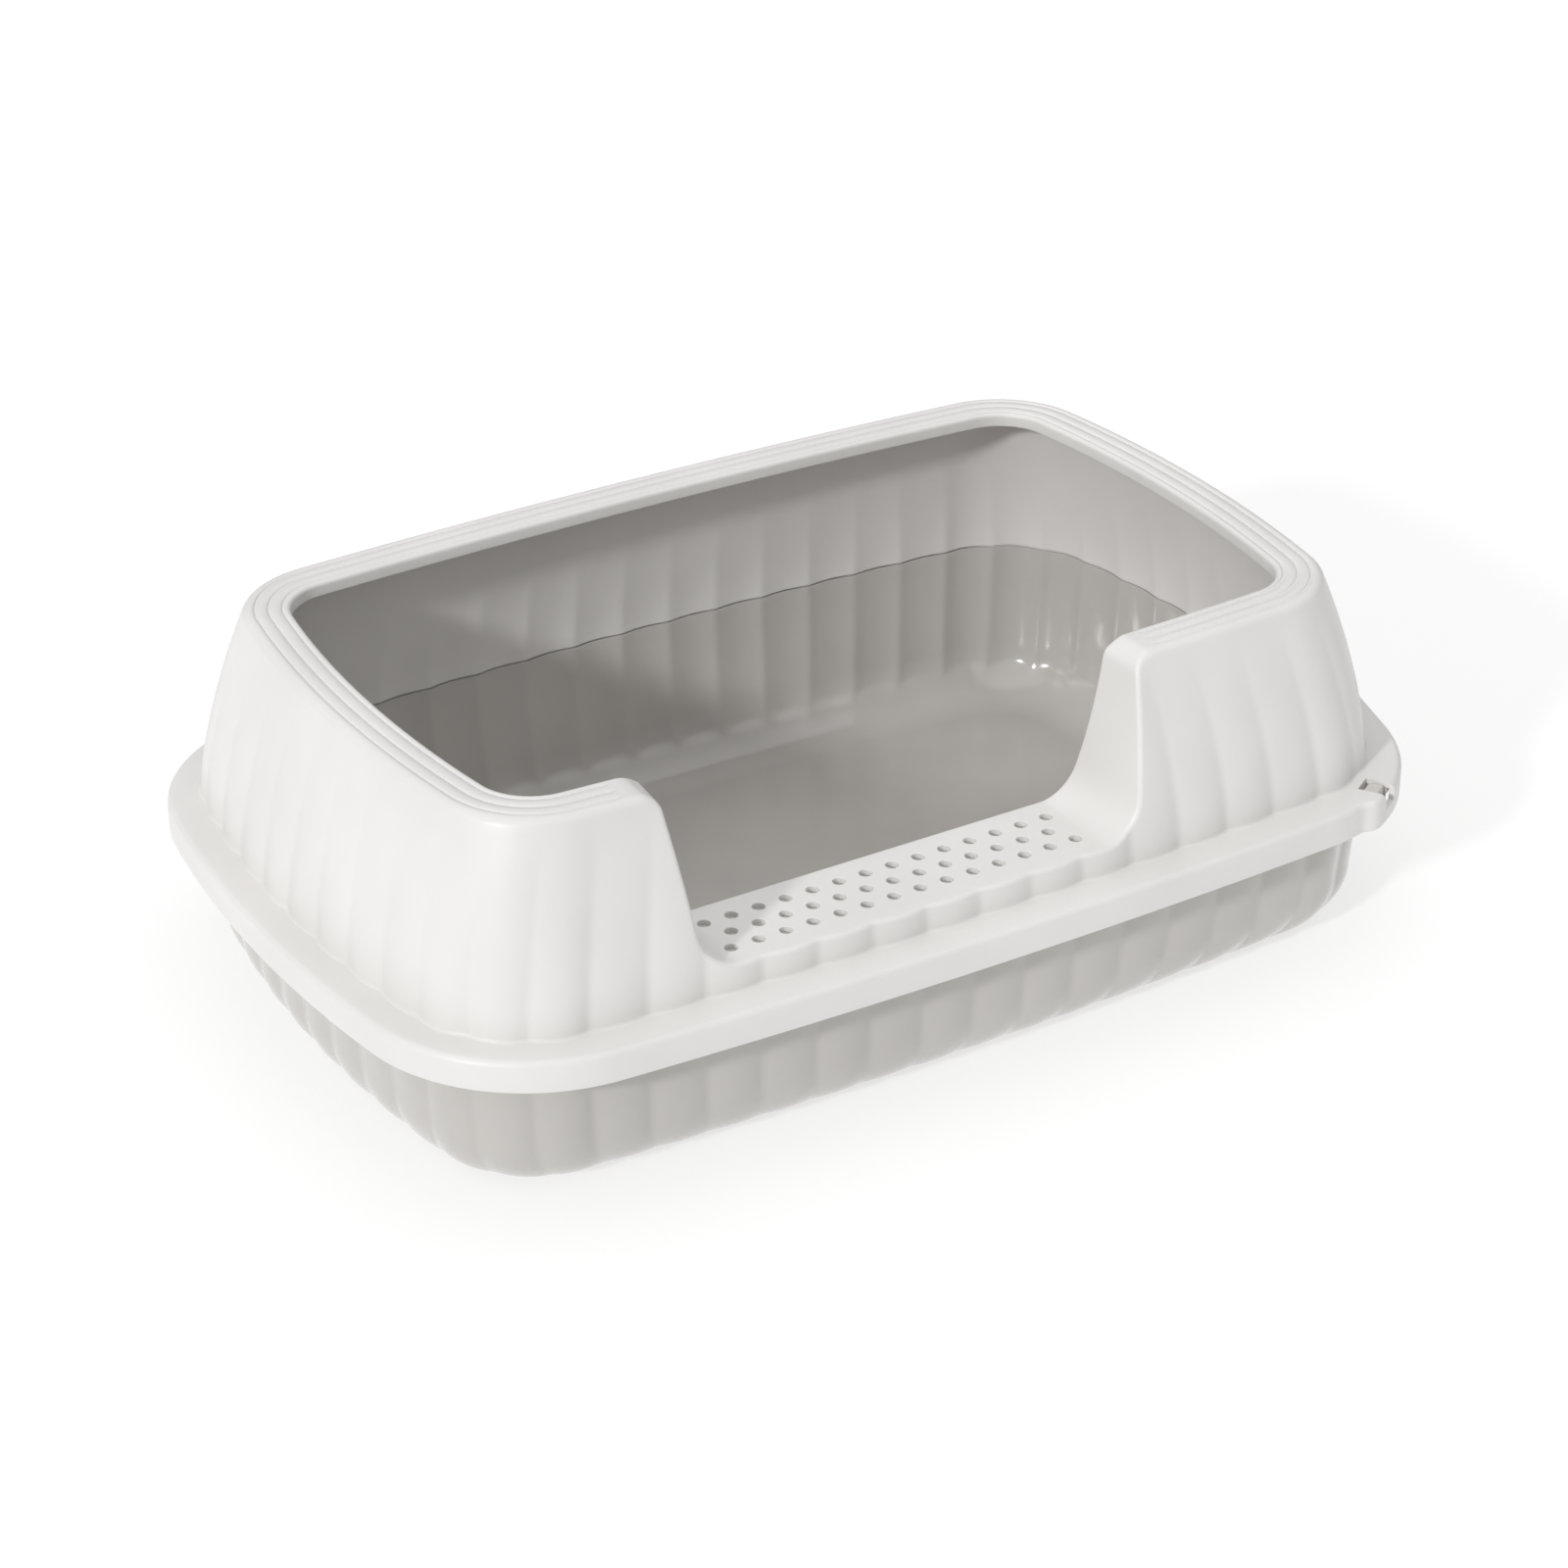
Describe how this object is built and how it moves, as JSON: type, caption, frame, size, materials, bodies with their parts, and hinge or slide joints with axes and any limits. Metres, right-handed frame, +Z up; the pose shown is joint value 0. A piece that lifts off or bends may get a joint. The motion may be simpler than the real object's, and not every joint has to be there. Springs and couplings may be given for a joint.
{
  "type": "cat litter box with splash-guard hood",
  "caption": "Open-topped cat litter box: fluted grey pan under a high white surround with a low perforated entry step, grooved rim and corner snap latches.",
  "frame": {"origin": "middle of the flat face that the pan rests on, level with the middle of the pan", "axes": "+X along the box towards the end with the wide grip, +Y away from the entry, +Z up"},
  "size_m": [0.5158, 0.3366, 0.165],
  "materials": {
    "pan_plastic": "smooth glossy moulded polypropylene, warm light grey",
    "hood_plastic": "fine satin moulded polypropylene, warm white",
    "latch_plastic": "satin moulded polypropylene, warm grey"
  },
  "bodies": {
    "pan": {"litter_pan": "pan_plastic"},
    "hood": {"hood": "hood_plastic"},
    "front_latch": {"front_latch": "latch_plastic"},
    "rear_latch": {"rear_latch": "latch_plastic"}
  },
  "joints": [
    {"name": "hood_lift", "type": "slide", "parent": "pan", "child": "hood", "axis": [0, 0, 1], "range_m": [0, 0.15]},
    {"name": "front_latch_press", "type": "hinge", "parent": "pan", "child": "front_latch", "pos_m": [0.20456, -0.14928, 0.069], "axis": [-0.8443, -0.5358, 0], "range_deg": [0, 5.5], "stiffness_Nm_per_rad": 0.6},
    {"name": "rear_latch_press", "type": "hinge", "parent": "pan", "child": "rear_latch", "pos_m": [0.20456, 0.14928, 0.069], "axis": [0.8443, -0.5358, 0], "range_deg": [0, 5.5], "stiffness_Nm_per_rad": 0.6}
  ]
}
